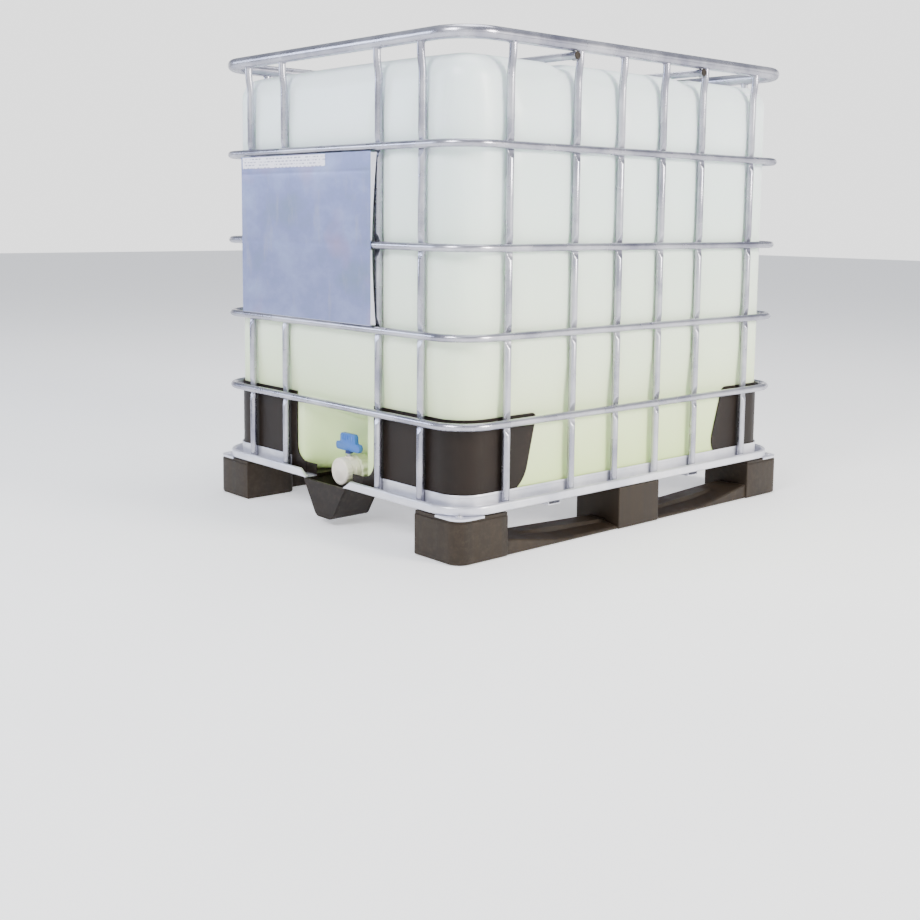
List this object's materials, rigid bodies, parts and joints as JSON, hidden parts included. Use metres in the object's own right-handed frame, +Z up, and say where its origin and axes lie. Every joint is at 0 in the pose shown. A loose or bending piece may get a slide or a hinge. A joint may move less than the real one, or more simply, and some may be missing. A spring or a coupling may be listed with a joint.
{
  "type": "intermediate bulk container",
  "caption": "Caged bulk liquid container: milky blown bottle in a welded tube cage on a steel tray frame with plastic feet, a screw lid on top and a lever outlet valve in front.",
  "frame": {"origin": "on the floor under the middle of the pallet", "axes": "+Z up, -Y out of the front where the outlet is, X across the width, Y along the length"},
  "size_m": [1, 1.2015, 1.16],
  "materials": {
    "galvanised_steel": "bright galvanised tube and sheet",
    "plate_steel": "plain zinc-coated sheet",
    "black_plastic": "moulded black plastic",
    "natural_plastic": "milky blown plastic",
    "cream_plastic": "moulded cream plastic",
    "blue_plastic": "moulded blue plastic",
    "label_film": "blank printed film",
    "rubber_seal": "soft seal rubber",
    "stainless": "stainless steel"
  },
  "bodies": {
    "container": {"foot_front_left": "black_plastic", "foot_front_right": "black_plastic", "foot_rear_left": "black_plastic", "foot_rear_right": "black_plastic", "foot_mid_left": "black_plastic", "foot_mid_right": "black_plastic", "foot_rear_centre": "black_plastic", "foot_centre": "black_plastic", "drip_chute": "black_plastic", "runner_front_left": "black_plastic", "runner_front_right": "black_plastic", "runner_rear_left": "black_plastic", "runner_rear_right": "black_plastic", "long_beams": "galvanised_steel", "cross_beams": "galvanised_steel", "base_frame": "galvanised_steel", "floor_pan": "galvanised_steel", "corner_plates": "galvanised_steel", "corner_screws": "galvanised_steel", "frame_screws": "galvanised_steel", "drip_liner": "black_plastic", "guard_front_left": "black_plastic", "guard_front_right": "black_plastic", "guard_rear_left": "black_plastic", "guard_rear_right": "black_plastic", "top_rim": "galvanised_steel", "cage_ring_1": "galvanised_steel", "cage_ring_2": "galvanised_steel", "cage_ring_3": "galvanised_steel", "cage_ring_4": "galvanised_steel", "uprights_front": "galvanised_steel", "uprights_right": "galvanised_steel", "uprights_rear": "galvanised_steel", "uprights_left": "galvanised_steel", "top_bar_front": "galvanised_steel", "top_bar_rear": "galvanised_steel", "top_bar_plugs": "black_plastic", "top_bar_screws": "galvanised_steel", "top_bar_inserts": "galvanised_steel", "id_plate": "plate_steel", "id_label": "label_film", "bottle": "natural_plastic", "outlet_nut": "cream_plastic", "outlet_gasket": "rubber_seal", "valve_body": "cream_plastic", "valve_seat_ring": "rubber_seal", "stem_seal": "rubber_seal"},
    "lid_seal": {"fill_lid_gasket": "rubber_seal"},
    "lid": {"fill_lid": "black_plastic"},
    "vent_seal": {"vent_plug_gasket": "rubber_seal"},
    "vent": {"vent_plug": "black_plastic"},
    "handle": {"valve_handle": "blue_plastic", "valve_stem": "stainless", "valve_disc": "cream_plastic", "handle_screw": "stainless"},
    "cap_seal": {"outlet_cap_gasket": "rubber_seal"},
    "cap": {"outlet_cap": "cream_plastic"}
  },
  "joints": [
    {"name": "lid_rise", "type": "slide", "parent": "container", "child": "lid_seal", "axis": [0, 0, 1], "range_m": [0, 0.021]},
    {"name": "lid_turn", "type": "hinge", "parent": "lid_seal", "child": "lid", "pos_m": [0, 0, 1.13], "axis": [0, 0, 1], "range_deg": [0, 1080]},
    {"name": "vent_rise", "type": "slide", "parent": "lid", "child": "vent_seal", "axis": [0, 0, 1], "range_m": [0, 0.014]},
    {"name": "vent_turn", "type": "hinge", "parent": "vent_seal", "child": "vent", "pos_m": [0, 0, 1.144], "axis": [0, 0, 1], "range_deg": [0, 720]},
    {"name": "handle_turn", "type": "hinge", "parent": "container", "child": "handle", "pos_m": [0, -0.522, 0.126], "axis": [0, 0, 1], "range_deg": [0, 90]},
    {"name": "cap_draw", "type": "slide", "parent": "container", "child": "cap_seal", "axis": [0, -1, 0], "range_m": [0, 0.015]},
    {"name": "cap_turn", "type": "hinge", "parent": "cap_seal", "child": "cap", "pos_m": [0, -0.545, 0.126], "axis": [0, -1, 0], "range_deg": [0, 900]}
  ],
  "couplings": [
    {"joint": "lid_rise", "follows": "lid_turn", "m_per_rad": 0.0011141},
    {"joint": "vent_rise", "follows": "vent_turn", "m_per_rad": 0.0011141},
    {"joint": "cap_draw", "follows": "cap_turn", "m_per_rad": 0.00095493}
  ]
}
